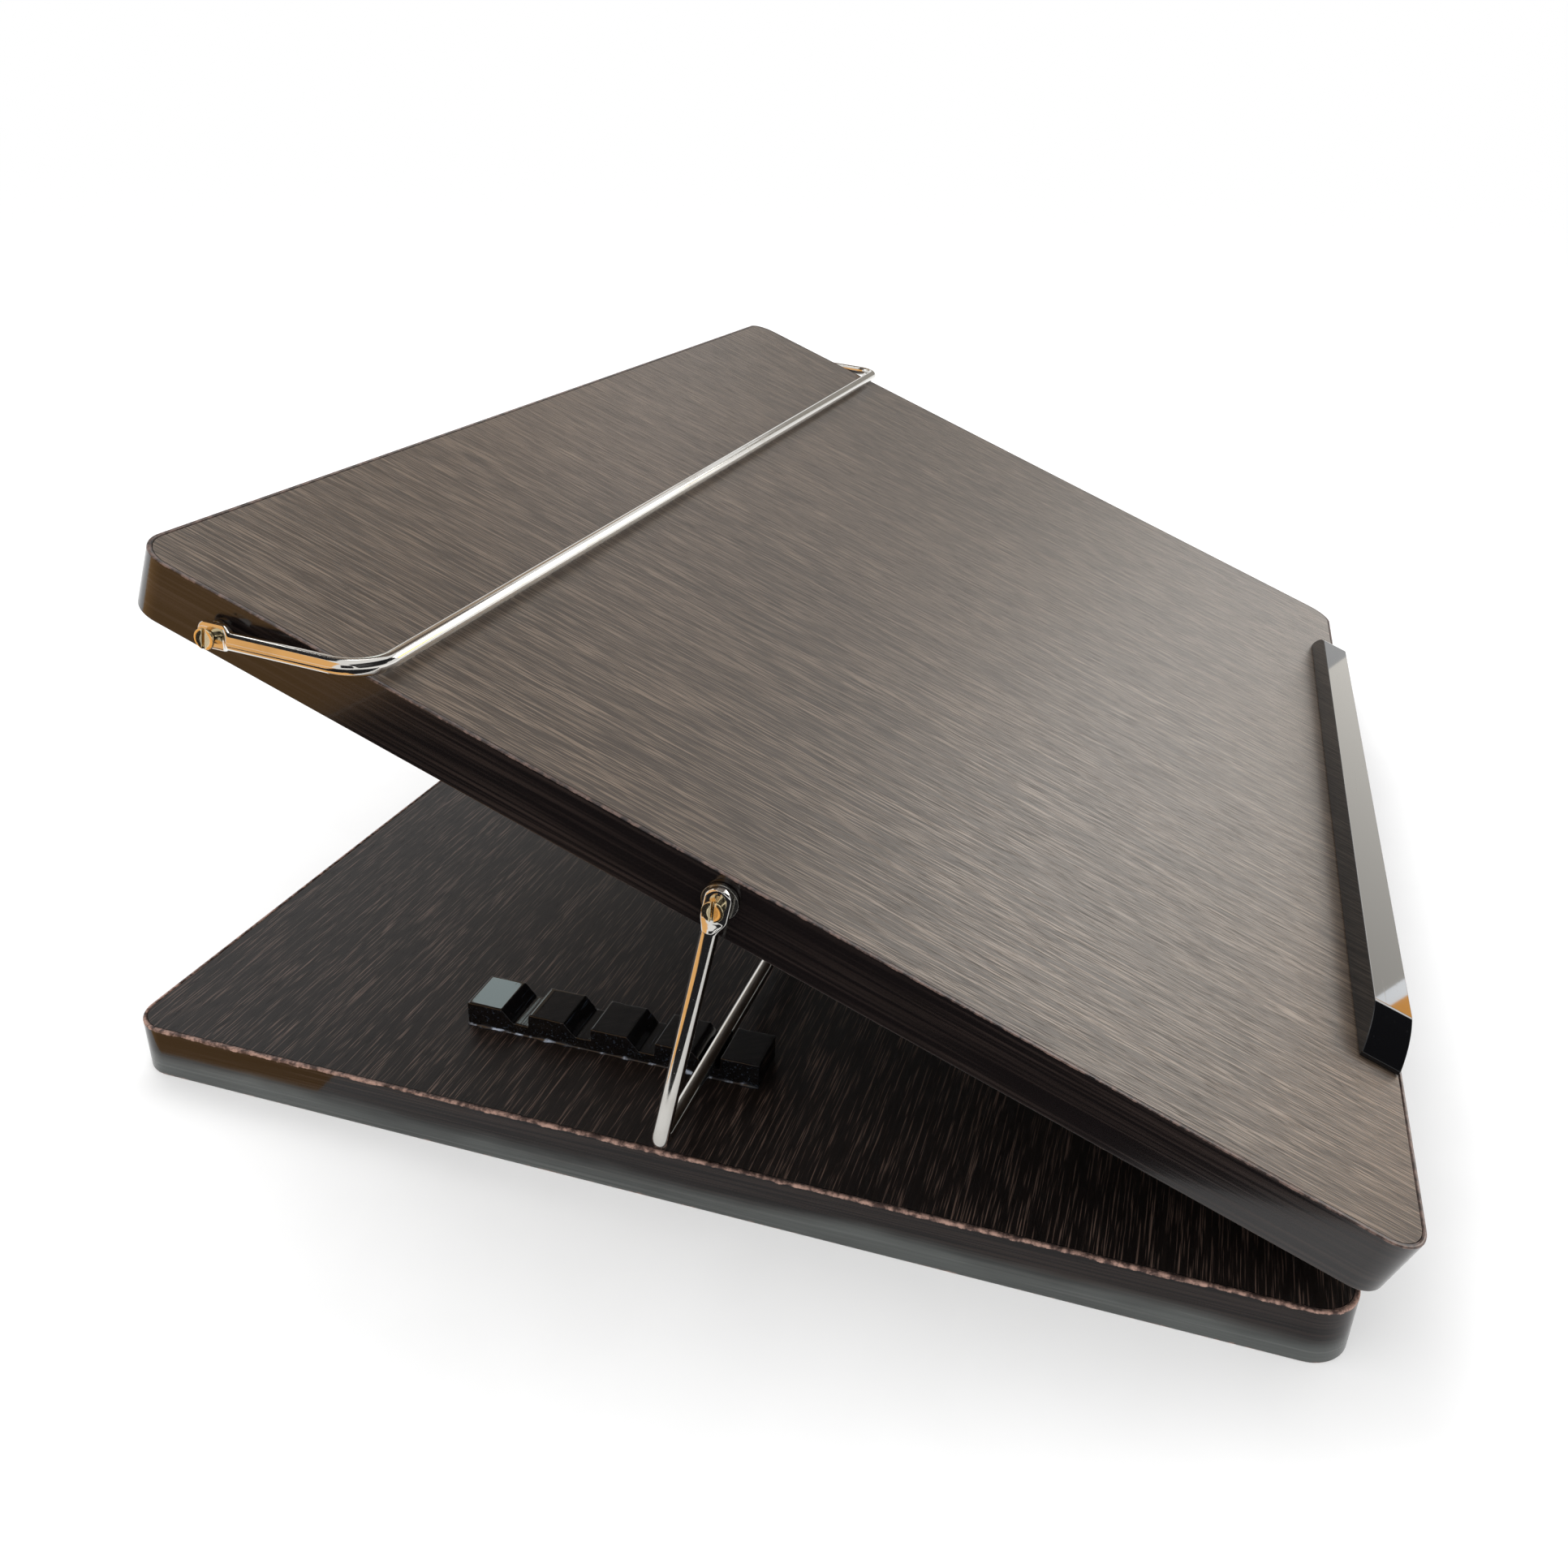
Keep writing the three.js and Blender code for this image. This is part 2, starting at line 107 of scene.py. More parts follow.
def local_box(node, place):
    """The lowest and highest corner of a CAD node, measured in another frame."""
    back = place.inverted()
    corners = [back @ vertex.co for vertex in frame["nodes"][node].data.vertices]
    low = Vector([min(corner[i] for corner in corners) for i in range(3)])
    high = Vector([max(corner[i] for corner in corners) for i in range(3)])
    return low, high


print("board, mm:", [round(side / MM, 1) for side in local_box("board_core", board_frame)[1]])


# %% [markdown]
# ## The camera
#
# The stand is seen from its left, a little to the front and from above, by a wide lens held
# close. The camera comes first, so that every later step can be looked at. Its place is
# given as an eye point and an aim point, with a slight roll.

# %% The camera
EYE = Vector((-541.2, -118.2, 284.1)) * MM
AIM = Vector((0, 47.2, 9.8)) * MM
ROLL = math.radians(1.51)
LENS = 30.63

camera = bpy.data.objects.new("camera", bpy.data.cameras.new("camera"))
camera.data.lens = LENS
camera.data.sensor_width = 36
camera.data.clip_start = 0.01
camera.data.clip_end = 100
camera.rotation_mode = "QUATERNION"
camera.location = EYE
looking = (AIM - EYE).to_track_quat("-Z", "Y").to_matrix() @ Matrix.Rotation(ROLL, 3, "Z")
camera.rotation_quaternion = looking.to_quaternion()
bpy.context.scene.collection.objects.link(camera)
bpy.context.scene.camera = camera
print("camera to middle, m:", round((AIM - EYE).length, 3))

# %% [markdown]
# ## A short way to write shader nodes
#
# A material is a graph of nodes, but most of it is arithmetic. `Signal` wraps one output
# socket, so that sums on it add Math nodes, and `Finish.add` makes every other node. The
# finishes below then read like formulas.


# %% Signals and finishes
class Signal:
    """An output socket that takes part in sums."""

    def __init__(self, finish, socket):
        self.finish = finish
        self.socket = socket

    def math(self, operation, first, second):
        return self.finish.add("Math", {"operation": operation}, {0: first, 1: second})

    def __add__(self, other):
        return self.math("ADD", self, other)

    def __sub__(self, other):
        return self.math("SUBTRACT", self, other)

    def __rsub__(self, other):
        return self.math("SUBTRACT", other, self)

    def __mul__(self, other):
        return self.math("MULTIPLY", self, other)

    __radd__ = __add__
    __rmul__ = __mul__


class Finish:
    """A material whose nodes are added one by one."""

    def __init__(self, name, **uniform):
        self.material = bpy.data.materials.new(name)
        self.material.use_nodes = True
        self.tree = self.material.node_tree
        self.shader = self.tree.nodes["Principled BSDF"]
        for socket, value in uniform.items():
            self.shader.inputs[socket.replace("_", " ")].default_value = value
        print("finish:", name)

    def add(self, kind, settings, sockets, output=0):
        node = self.tree.nodes.new("ShaderNode" + kind)
        for name, value in settings.items():
            setattr(node, name, value)
        for key, value in sockets.items():
            self.feed(node.inputs[key], value)
        return Signal(self, node.outputs[output])

    def feed(self, socket, value):
        if isinstance(value, Signal):
            self.tree.links.new(value.socket, socket)
        else:
            socket.default_value = value

    def wear(self, name, value):
        """Feeds one of the surface shader's own sockets."""
        self.feed(self.shader.inputs[name], value)

    def place(self, move=(0, 0, 0), turn=(0, 0, 0)):
        """Object coordinates, moved and turned."""
        position = self.add("TexCoord", {}, {}, output="Object")
        return self.map(position, move, turn)

    def map(self, vector, move=(0, 0, 0), turn=(0, 0, 0), stretch=(1, 1, 1)):
        sockets = {"Vector": vector, "Location": move, "Rotation": turn, "Scale": stretch}
        return self.add("Mapping", {}, sockets)

    def axis(self, vector, name):
        return self.add("SeparateXYZ", {}, {0: vector}, output=name)

    def noise(self, vector, scale=1, detail=2, roughness=0.5):
        sockets = {"Vector": vector, "Scale": scale, "Detail": detail, "Roughness": roughness}
        return self.add("TexNoise", {}, sockets)

    def ramp(self, value, low, high):
        """0 below low, 1 above high and smooth between them."""
        settings = {"interpolation_type": "SMOOTHSTEP"}
        return self.add("MapRange", settings, {0: value, 1: low, 2: high})

    def blend(self, factor, first, second):
        """Two colours mixed."""
        settings = {"data_type": "RGBA", "clamp_factor": True}
        return self.add("Mix", settings, {0: factor, 6: first, 7: second}, output=2)

    def bump(self, height, distance, strength):
        sockets = {"Height": height, "Distance": distance, "Strength": strength}
        return self.add("Bump", {}, sockets)


def rgb(red, green, blue):
    return (red, green, blue, 1)


# %% [markdown]
# ## Wenge laminate
#
# The faces are a printed and embossed laminate that copies wenge: nearly black brown, with
# pale hairlines and dark pores, all drawn out along the grain. Noise stretched along one
# axis gives such streaks. Five sizes of streak are layered over soft clouds, because a single
# one looks like brushed metal. The board's grain runs front to back and the base's from side
# to side. The base's colours are much darker than the board's, and that darkness is painted
# shade from the raised board above it.


# %% The laminate finishes
# How long and how wide the streaks of each layer are.
MEDIUM = (35 * MM, 0.7 * MM)
BROAD = (300 * MM, 14 * MM)
HAIRLINE = (18 * MM, 0.38 * MM)
PATCH = (60 * MM, 9 * MM)
PORE = (8 * MM, 0.3 * MM)
HAIR_SOFTNESS = 0.13
EMBOSSING = 0.05 * MM


def streak(finish, grain, layer, shift):
    """Noise drawn out along Y, shifted so that no two layers look alike."""
    long, wide = layer
    move = (shift, shift, 0)
    return finish.noise(finish.map(grain, move=move, stretch=(1 / wide, 1 / long, 1 / wide)))


def laminate(name, grain_turn, tilt, dark, middle, pale, hairlines, hair_from, gloss):
    finish = Finish(name, Specular_IOR_Level=gloss)
    upright = finish.place(turn=(-tilt, 0, 0))
    grain = finish.map(upright, turn=(0, 0, grain_turn))
    # The ground: dark and middle brown.
    medium = streak(finish, grain, MEDIUM, shift=3)
    broad = streak(finish, grain, BROAD, shift=7)
    clouds = finish.noise(upright, scale=5)
    depth = finish.ramp(medium * 0.35 + broad * 0.12 + clouds * 0.53, 0.32, 0.68)
    body = finish.blend(depth, dark, middle)
    # The hairlines, which thin out in patches, and the pores.
    fine = streak(finish, grain, HAIRLINE, shift=11)
    hair = finish.ramp(fine, hair_from, hair_from + HAIR_SOFTNESS)
    patchy = finish.ramp(streak(finish, grain, PATCH, shift=19), 0.30, 0.65)
    colour = finish.blend(hair * (patchy * 0.35 + 0.65) * hairlines, body, pale)
    pore = finish.ramp(streak(finish, grain, PORE, shift=23), 0.55, 0.66)
    colour = finish.blend(pore * 0.7, colour, dark)
    relief = hair * 0.5 + medium * 0.3 - pore * 0.7
    finish.wear("Base Color", colour)
    finish.wear("Roughness", 0.36 + pore * 0.14 + clouds * 0.08 - hair * 0.05)
    finish.wear("Normal", finish.bump(relief, EMBOSSING, 0.5))
    return finish.material


board_laminate = laminate(
    "board_wenge",
    grain_turn=0,
    tilt=TILT,
    dark=rgb(0.036, 0.0245, 0.0165),
    middle=rgb(0.072, 0.051, 0.036),
    pale=rgb(0.29, 0.215, 0.155),
    hairlines=0.5,
    hair_from=0.48,
    gloss=0.5,
)
# The base's much darker colours are painted shade from the raised board above it.
base_laminate_painted_shade = laminate(
    "base_wenge_painted_shade",
    grain_turn=math.pi / 2,
    tilt=0,
    dark=rgb(0.005, 0.0036, 0.0034),
    middle=rgb(0.013, 0.009, 0.0078),
    pale=rgb(0.22, 0.145, 0.115),
    hairlines=0.5,
    hair_from=0.55,
    gloss=0.18,
)

# %% [markdown]
# ## Edge band
#
# A glossy strip is glued round each panel and trimmed flush. Its print runs lengthwise, so
# the noise changes quickly with height and slowly round the panel. Where the trimmer has cut
# it, along both rims, the strip's tan body shows as a thin and slightly chipped line. It
# shows more on the base. The lower half of the base's band also gets a pale, streaky grey: a
# painted reflection of the pale floor in its gloss. One function makes both, and its values
# say how strong the rims and the painted reflection are.


# %% The edge band's finish
BAND_DARK = rgb(0.0055, 0.004, 0.004)
BAND_BROWN = rgb(0.021, 0.0145, 0.0125)
FLOOR_REFLECTION_GREY = rgb(0.125, 0.135, 0.13)
# Grey for the painted reflection of the pale floor in the lower half of the base's band.
TRIM_BROWN = rgb(0.06, 0.035, 0.03)
TRIM_TAN = rgb(0.40, 0.25, 0.20)


def edge_band(name, frame_of, rim_width, rim_chips, rim_strength, floor_reflection_strength, gloss):
    finish = Finish(name, Specular_IOR_Level=gloss)
    back = frame_of.inverted()
    local = finish.place(move=back.translation, turn=back.to_euler())
    height = finish.axis(local, "Z")
    # The print: thin streaks that run round the panel.
    streaks = finish.noise(finish.map(local, stretch=(14, 14, 1300)), detail=4)
    broad = finish.noise(finish.map(local, stretch=(5, 5, 260)), detail=1)
    tone = finish.ramp(streaks * 0.7 + broad * 0.3, 0.42, 0.66)
    colour = finish.blend(tone, BAND_DARK, BAND_BROWN)
    # The painted reflection of the pale floor, a grey haze up to an uneven level.
    patches = finish.noise(finish.map(local, stretch=(16, 16, 60)), detail=3)
    level = THICKNESS * 0.35 + patches * THICKNESS * 0.45 - height
    painted_floor_reflection = finish.ramp(level, 0, THICKNESS * 0.4)
    colour = finish.blend(painted_floor_reflection * (streaks * 0.5 + patches * 0.7) * floor_reflection_strength, colour, FLOOR_REFLECTION_GREY)
    # The trimmed rims, full along the top and half as strong below.
    chips = finish.noise(local, scale=420, detail=3, roughness=0.65)
    wander = finish.noise(local, scale=70)
    ragged = (chips - 0.5) * rim_chips + (wander - 0.5) * rim_width * 1.6
    top = finish.ramp(height + ragged, THICKNESS - rim_width, THICKNESS - rim_width * 0.6)
    bottom = finish.ramp(rim_width * 0.4 - height + ragged, 0, rim_width * 0.4)
    either = finish.add("Math", {"operation": "MAXIMUM"}, {0: top, 1: bottom * 0.5})
    cut = either * rim_strength
    tan = finish.blend(finish.ramp(chips, 0.38, 0.66), TRIM_BROWN, TRIM_TAN)
    finish.wear("Base Color", finish.blend(cut, colour, tan))
    finish.wear("Roughness", 0.13 + tone * 0.06 + painted_floor_reflection * floor_reflection_strength * 0.12 + cut * 0.45)
    finish.wear("Coat Weight", 0.1 - cut * 0.1)
    finish.wear("Normal", finish.bump(streaks + chips * cut * 2, 0.03 * MM, 0.35))
    return finish.material


# Only the base's band gets the painted reflection of the floor on its lower half.
base_band = edge_band(
    "base_band_gloss", flat_frame,
    rim_width=1.0 * MM, rim_chips=1.3 * MM, rim_strength=1.0, floor_reflection_strength=1.0, gloss=0.2,
)
board_band = edge_band(
    "board_band_gloss", board_frame,
    rim_width=0.35 * MM, rim_chips=0.7 * MM, rim_strength=0.35, floor_reflection_strength=0.0, gloss=0.45,
)

# %% [markdown]
# ## Core
#
# Between the laminates lies chipboard: flakes of pale wood pressed with glue. It is covered
# on every side, but a cut or a bore would show it, so it gets flakes from a Voronoi pattern.


# %% The core's finish
FLAKE_BROWN = rgb(0.34, 0.22, 0.12)
FLAKE_PALE = rgb(0.62, 0.46, 0.29)
FIBRE_DARK = rgb(0.20, 0.12, 0.07)


def chipboard():
    finish = Finish("chipboard_core", Roughness=0.85)
    place = finish.place()
    flakes = finish.add("TexVoronoi", {}, {"Vector": place, "Scale": 260}, output="Color")
    chance = finish.add("SeparateColor", {}, {0: flakes}, output=0)
    fibre = finish.noise(place, scale=900, detail=3)
    colour = finish.blend(chance, FLAKE_BROWN, FLAKE_PALE)
    finish.wear("Base Color", finish.blend(fibre * 0.5, colour, FIBRE_DARK))
    finish.wear("Normal", finish.bump(chance + fibre, 0.1 * MM, 0.6))
    return finish.material


core = chipboard()

# %% [markdown]
# ## Black acrylic and glue
#
# The lip and the racks are cut from polished black acrylic, which has a mirror gloss, a few
# hair scratches and some dust. The racks' notches and long sides were sawn and left rough,
# with fine marks across the saw's path. The crests of these marks are a pale blue, partly the
# marks' own colour and partly a painted highlight. One function makes both, with a value that
# says how sawn it is. The glue that was squeezed out under the racks has dried dark, with
# pale lumps.


# %% The acrylic and glue finishes
ACRYLIC_BLACK = rgb(0.003, 0.003, 0.0035)
DUST_GREY = rgb(0.10, 0.10, 0.10)
# Pale blue for the saw marks' crests, partly their own colour and partly a painted highlight.
SAW_MARK_AND_HIGHLIGHT = rgb(0.035, 0.045, 0.06)
GLUE_DARK = rgb(0.008, 0.01, 0.014)
GLUE_PALE = rgb(0.40, 0.46, 0.56)


def acrylic(name, sawn, coat):
    finish = Finish(name, Specular_IOR_Level=0.5)
    place = finish.place()
    scratch = finish.noise(finish.map(place, turn=(0, 0, 0.5), stretch=(40, 900, 900)))
    hair = finish.ramp(scratch, 0.66, 0.72)
    dust = finish.ramp(finish.noise(place, scale=1100, detail=1), 0.72, 0.82)
    marks = finish.noise(finish.map(place, stretch=(60, 1300, 1300)), detail=3)
    # The crests of the saw marks carry a painted highlight of pale blue.
    crests_and_highlights = finish.ramp(marks, 0.58, 0.70)
    colour = finish.blend(dust * 0.2, ACRYLIC_BLACK, DUST_GREY)
    finish.wear("Base Color", finish.blend(crests_and_highlights * sawn * 0.6, colour, SAW_MARK_AND_HIGHLIGHT))
    finish.wear("Roughness", 0.03 + hair * 0.1 + dust * 0.15 + marks * sawn * 0.2)
    finish.wear("Coat Weight", coat - dust * coat)
    waves = finish.noise(place, scale=22, detail=1)
    finish.wear("Normal", finish.bump(waves * 0.5 + marks * sawn, 0.05 * MM, 0.2 + 0.5 * sawn))
    return finish.material


polished_acrylic = acrylic("polished_acrylic", sawn=0.0, coat=0.15)
sawn_acrylic = acrylic("sawn_acrylic", sawn=1.0, coat=0.0)


def dried_glue():
    finish = Finish("dried_glue", Specular_IOR_Level=0.6)
    lumps = finish.noise(finish.place(), scale=260, detail=3)
    finish.wear("Base Color", finish.blend(finish.ramp(lumps, 0.5, 0.68), GLUE_DARK, GLUE_PALE))
    finish.wear("Roughness", 0.2 + lumps * 0.3)
    finish.wear("Normal", finish.bump(lumps, 0.2 * MM, 0.5))
    return finish.material


glue = dried_glue()

# %% [markdown]
# ## Plated metals
#
# The wires are drawn steel with bright plating, which has faint marks and a few dull spots.
# The screws are nickel plated, and their yellow tone is a painted reflection of a warm wall.
# The washers are plain zinc, and the hinges are satin steel with marks drawn out across the
# stand. The marks are noise, and how it is stretched tells one metal from another.


# %% The metal finishes
def plated(name, bright, dull, roughness, marks):
    finish = Finish(name, Metallic=1.0)
    place = finish.place()
    cloud = finish.noise(place, scale=60, detail=3)
    speck = finish.ramp(finish.noise(place, scale=1400), 0.68, 0.78)
    drawn = finish.noise(finish.map(place, stretch=marks))
    tarnish = finish.ramp(cloud, 0.5, 0.8)
    finish.wear("Base Color", finish.blend(tarnish * 0.5 + speck * 0.4, bright, dull))
    finish.wear("Roughness", roughness + drawn * 0.07 + tarnish * 0.06 + speck * 0.2)
    finish.wear("Normal", finish.bump(drawn, 0.012 * MM, 0.3))
    return finish.material


chrome = plated(
    "drawn_wire_chrome", bright=rgb(0.66, 0.645, 0.61), dull=rgb(0.40, 0.37, 0.32),
    roughness=0.06, marks=(500, 500, 500),
)
washer_zinc = plated(
    "washer_zinc", bright=rgb(0.42, 0.41, 0.38), dull=rgb(0.20, 0.19, 0.17),
    roughness=0.2, marks=(700, 700, 700),
)
# The yellow tint is a painted reflection of a warm wall on nickel-plated screws.
warm_painted_screw_plating = plated(
    "screw_brass", bright=rgb(0.74, 0.63, 0.40), dull=rgb(0.42, 0.34, 0.22),
    roughness=0.16, marks=(900, 900, 900),
)
steel = plated(
    "hinge_steel", bright=rgb(0.62, 0.61, 0.58), dull=rgb(0.33, 0.31, 0.28),
    roughness=0.30, marks=(80, 1200, 1200),
)

# %% [markdown]
# ## From bmesh to piece
#
# Each piece is drawn in its own easy frame, moved to its place, and then rides on the CAD
# body that it belongs to, in place of the plain CAD node. A piece that is only added, such as
# the glue, hides nothing. The object itself stays at the origin, so patterns on Object
# coordinates don't slide.


# %% Helpers that turn a bmesh into a piece
def finished(bm, name, node, materials, place=flat_frame, hides=True):
    """Makes a mesh object of the bmesh, smooth, with its finishes and its body."""
    bmesh.ops.transform(bm, matrix=place, verts=bm.verts)
    for face in bm.faces:
        face.smooth = True
    mesh = bpy.data.meshes.new(name)
    bm.to_mesh(mesh)
    bm.free()
    for material in materials:
        mesh.materials.append(material)
    piece = bpy.data.objects.new(name, mesh)
    bpy.context.scene.collection.objects.link(piece)
    piece.modifiers.new("even_shading", "WEIGHTED_NORMAL")
    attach(piece, frame["nodes"][node]["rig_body"])
    if hides:
        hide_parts(node)
    print(f"{name}: {len(mesh.polygons)} faces")


def bevel(bm, edges, width, segments=2):
    """Rounds edges off."""
    bmesh.ops.bevel(
        bm, geom=edges, offset=width, affect="EDGES",
        segments=segments, profile=0.5, material=-1, clamp_overlap=True,
    )


def pull(bm, ring, step):
    """Extrudes a ring of edges and gives back the new ring."""
    made = bmesh.ops.extrude_edge_only(bm, edges=ring)["geom"]
    corners = [vertex for vertex in made if isinstance(vertex, bmesh.types.BMVert)]
    bmesh.ops.translate(bm, vec=step, verts=corners)
    return [edge for edge in made if isinstance(edge, bmesh.types.BMEdge)]


def sharp_edges(bm, degrees):
    """Edges whose two faces meet at more than that."""
    limit = math.radians(degrees)
    return [edge for edge in bm.edges if edge.is_manifold and edge.calc_face_angle() > limit]


# %% [markdown]
# ## Edge bands as real strips
#
# A band is a ring with the panel's outline. Four corners are rounded by a vertex bevel, an
# inset leaves the ring, and extruding it gives the height. The outer rims get the small
# round that sanding leaves, which catches the light all along the panel.


# %% Wrap a band round each panel
RIM_ROUND = 0.35 * MM
CORNER_SEGMENTS = 16


def panel_outline():
    """One flat face with the panels' outline."""
    bm = bmesh.new()
    bmesh.ops.create_grid(bm, x_segments=1, y_segments=1, size=0.5)
    bmesh.ops.scale(bm, vec=(WIDTH, DEPTH, 1), verts=bm.verts)
    bmesh.ops.bevel(
        bm, geom=bm.verts[:], offset=CORNER, affect="VERTICES",
        segments=CORNER_SEGMENTS, profile=0.5, material=-1,
    )
    return bm


def raise_faces(bm, faces, height):
    """Turns flat faces into a closed solid of that height."""
    made = bmesh.ops.extrude_face_region(bm, geom=faces, use_keep_orig=True)
    moved = [item for item in made["geom"] if isinstance(item, bmesh.types.BMVert)]
    bmesh.ops.translate(bm, vec=(0, 0, height), verts=moved)
    bmesh.ops.recalc_face_normals(bm, faces=bm.faces)


def wrapped_band(name, node, place, middle, material):
    bm = panel_outline()
    bmesh.ops.inset_region(
        bm, faces=bm.faces[:], thickness=BAND, use_boundary=True, use_even_offset=True,
    )
    middle_face = max(bm.faces, key=lambda face: face.calc_area())
    bmesh.ops.delete(bm, geom=[middle_face], context="FACES_ONLY")
    raise_faces(bm, bm.faces[:], THICKNESS)
    outer = []
    for edge in sharp_edges(bm, 60):
        wall = min(edge.link_faces, key=lambda face: abs(face.normal.z))
        if wall.normal.dot(wall.calc_center_median()) > 0:
            outer.append(edge)
    bevel(bm, outer, RIM_ROUND)
    finished(bm, name, node, [material], place @ Matrix.Translation(middle))


wrapped_band("base_band", "base_edge_band", flat_frame, (0, 0, 0), base_band)
wrapped_band("board_band", "board_edge_band", board_frame, (0, DEPTH / 2, 0), board_band)

# %% [markdown]
# ## Panels
#
# The laminates and the cores are flat sheets, and the CAD nodes already have their exact
# shape, so they keep it. They only need their finishes.

# %% Give the CAD sheets their finishes
panel_finishes = {
    "base_top_laminate": base_laminate_painted_shade,
    "base_bottom_laminate": base_laminate_painted_shade,
    "board_top_laminate": board_laminate,
    "board_bottom_laminate": board_laminate,
    "base_core": core,
    "board_core": core,
}
for node, material in panel_finishes.items():
    sheet = frame["nodes"][node].data
    sheet.materials.clear()
    sheet.materials.append(material)
print("sheets:", len(panel_finishes))

# %% [markdown]
# ## The lip
#
# A polished bar along the board's front edge stops whatever stands there from sliding off.
# Its ends fall in a shallow curve to a low upright foot. Half of its outline is one chain of
# extrusions with a spin for the curve. A mirror makes the other half, and the filled outline
# is raised to the bar's depth.


# %% Draw and raise the lip
LIP_END_RUN = 18 * MM
LIP_FOOT = 1.5 * MM
LIP_BULGE = 1.5 * MM
LIP_EDGE = 0.3 * MM
LIP_CURVE_STEPS = 14


def extend(bm, vertex, step):
    """Draws an edge from a vertex and gives back its far end."""
    made = bmesh.ops.extrude_vert_indiv(bm, verts=[vertex])
    bmesh.ops.translate(bm, vec=step, verts=made["verts"])
    return made["verts"][0]


def fill_outline(bm, depth):
    """Fills a drawn outline and gives it depth along +Z."""
    bmesh.ops.contextual_create(bm, geom=bm.edges[:])
    raise_faces(bm, bm.faces[:], depth)


def lip_outline(half_width, height):
    """Half the lip from the middle outwards and up, then mirrored."""
    bm = bmesh.new()
    corner = bm.verts.new((0, 0, 0))
    corner = extend(bm, corner, (half_width, 0, 0))
    corner = extend(bm, corner, (0, LIP_FOOT, 0))
    rise = height - LIP_FOOT
    # The curve is an arc that bulges from the straight line between its ends.
    chord = math.hypot(LIP_END_RUN, rise)
    radius = chord ** 2 / (8 * LIP_BULGE) + LIP_BULGE / 2
    outward = Vector((rise, LIP_END_RUN, 0)) / chord
    middle = corner.co + Vector((-LIP_END_RUN, rise, 0)) / 2
    centre = middle - outward * (radius - LIP_BULGE)
    sweep = 2 * math.asin(chord / 2 / radius)
    spun = bmesh.ops.spin(
        bm, geom=[corner], cent=centre, axis=(0, 0, 1), dvec=(0, 0, 0), angle=sweep,
        space=flat_frame, steps=LIP_CURVE_STEPS, use_merge=False, use_normal_flip=False,
        use_duplicate=False,
    )
    corner = [item for item in spun["geom_last"] if isinstance(item, bmesh.types.BMVert)][0]
    extend(bm, corner, (-corner.co.x, 0, 0))
    bmesh.ops.mirror(bm, geom=bm.verts[:] + bm.edges[:], axis="X", merge_dist=1e-6)
    bmesh.ops.remove_doubles(bm, verts=bm.verts, dist=1e-6)
    return bm


lip_low, lip_high = local_box("front_lip", board_frame)
bm = lip_outline(lip_high.x, lip_high.z - lip_low.z)
fill_outline(bm, lip_high.y - lip_low.y)
bevel(bm, sharp_edges(bm, 20), LIP_EDGE, 3)
upright = Matrix.Translation((0, lip_high.y, lip_low.z)) @ Matrix.Rotation(math.pi / 2, 4, "X")
lip_place = board_frame @ upright
finished(bm, "polished_lip", "front_lip", [polished_acrylic], lip_place)

# %% [markdown]
# ## The racks
#
# Each rack is a black bar with five teeth. The leg's crossbar lies in one of the four
# notches. The outline is drawn tooth by tooth and given the rack's width. The sawn sides are
# then sliced into a fine net, and a little noise breaks them up, as a coarse saw does. Along
# the outer foot runs a bead of squeezed-out glue: a circle pulled along ring by ring, whose
# size follows noise, with its lower half pressed flat on the base.

# %% Draw, slice and roughen the racks
TEETH = 5
TOOTH_TOP = 12.6 * MM
STEEP_RUN = 0.3 * MM
SLOPE_RUN = 4 * MM
NOTCH_FLOOR = 3.5 * MM
RACK_EDGE = 0.25 * MM
SLICE = 1.1 * MM
CHIP = 0.55 * MM
COARSE_CHIPS = 4.5 * MM
FINE_CHIPS = 1.3 * MM
BEAD = 1.1 * MM
BEAD_SEGMENTS = 12
BEAD_STEPS = 90
LUMP_LENGTH = 7 * MM
LUMP_LEAST = 0.35
LUMP_SPREAD = 1.1


def rack_outline(length, height):
    """The outline in X and Y, which become the rack's length and height."""
    pitch = (length - TOOTH_TOP) / (TEETH - 1)
    drop = height - NOTCH_FLOOR
    floor_run = pitch - TOOTH_TOP - STEEP_RUN - SLOPE_RUN
    notch = [(STEEP_RUN, -drop), (floor_run, 0), (SLOPE_RUN, drop)]
    bm = bmesh.new()
    corner = bm.verts.new((0, 0, 0))
    first = corner
    steps = [(0, height), (TOOTH_TOP, 0)]
    steps += (notch + [(TOOTH_TOP, 0)]) * (TEETH - 1)
    steps += [(0, -height)]
    for along, up in steps:
        corner = extend(bm, corner, (along, up, 0))
    bm.edges.new((corner, first))
    return bm


def slice_across(bm, axis, low, high, step):
    """Cuts the mesh into layers along one axis."""
    normal = Vector([1.0 if i == axis else 0.0 for i in range(3)])
    count = round((high - low) / step)
    for i in range(1, count):
        everything = bm.verts[:] + bm.edges[:] + bm.faces[:]
        cut = normal * (low + i * step)
        bmesh.ops.bisect_plane(bm, geom=everything, plane_co=cut, plane_no=normal)


def chip_sides(bm, width):
    """Pushes the two sawn sides in by noise, most where the saw broke out."""
    for vertex in bm.verts:
        side = min(vertex.co.z, width - vertex.co.z)
        if side < SLICE / 4:
            inward = 1 if vertex.co.z < width / 2 else -1
            coarse = max(0, noise.noise(vertex.co / COARSE_CHIPS))
            fine = abs(noise.noise(vertex.co / FINE_CHIPS))
            vertex.co.z += inward * CHIP * (coarse + 0.5 * fine)


def mark_sawn(bm, length, height):
    """Gives the second finish to the two sides and to everything inside the notches."""
    bm.normal_update()
    for face in bm.faces:
        middle = face.calc_center_median()
        between_ends = TOOTH_TOP < middle.x < length - TOOTH_TOP
        below_top = 0 < middle.y < height - RACK_EDGE
        on_side = abs(face.normal.z) > 0.5
        face.material_index = int(on_side or (between_ends and below_top))


